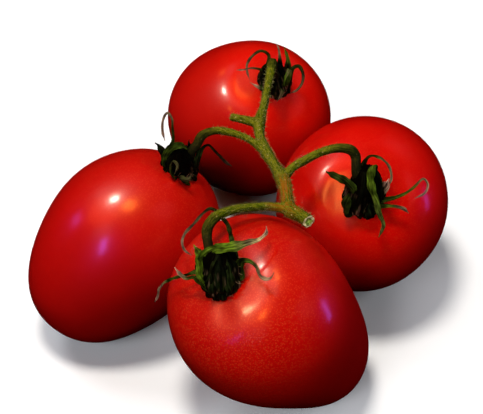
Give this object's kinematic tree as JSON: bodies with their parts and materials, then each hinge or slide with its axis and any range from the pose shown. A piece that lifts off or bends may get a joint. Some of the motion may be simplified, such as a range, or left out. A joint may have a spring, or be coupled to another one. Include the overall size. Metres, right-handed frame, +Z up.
{
  "type": "date tomato truss",
  "caption": "Truss of ripe egg-shaped date tomatoes on one branching green stem with dried curling sepals, lying as picked on a surface.",
  "frame": {"origin": "on the surface that the fruits rest on, under the middle of the whole truss", "axes": "+Z up from the resting surface; +Y along the row of fruits, from the cut end of the stem towards the far fruit; +X to the right of it"},
  "size_m": [0.0942, 0.1131, 0.056],
  "materials": {
    "tomato_skin": "smooth waxy skin, glossy",
    "stem_green": "matte, finely hairy",
    "dried_sepal": "matte, dried and shrivelled"
  },
  "bodies": {
    "root": {"fruit_back": "tomato_skin", "fruit_right": "tomato_skin", "fruit_left": "tomato_skin", "fruit_front": "tomato_skin", "truss_stem": "stem_green", "calyx_back": "dried_sepal", "calyx_right": "dried_sepal", "calyx_left": "dried_sepal", "calyx_front": "dried_sepal"}
  },
  "joints": []
}
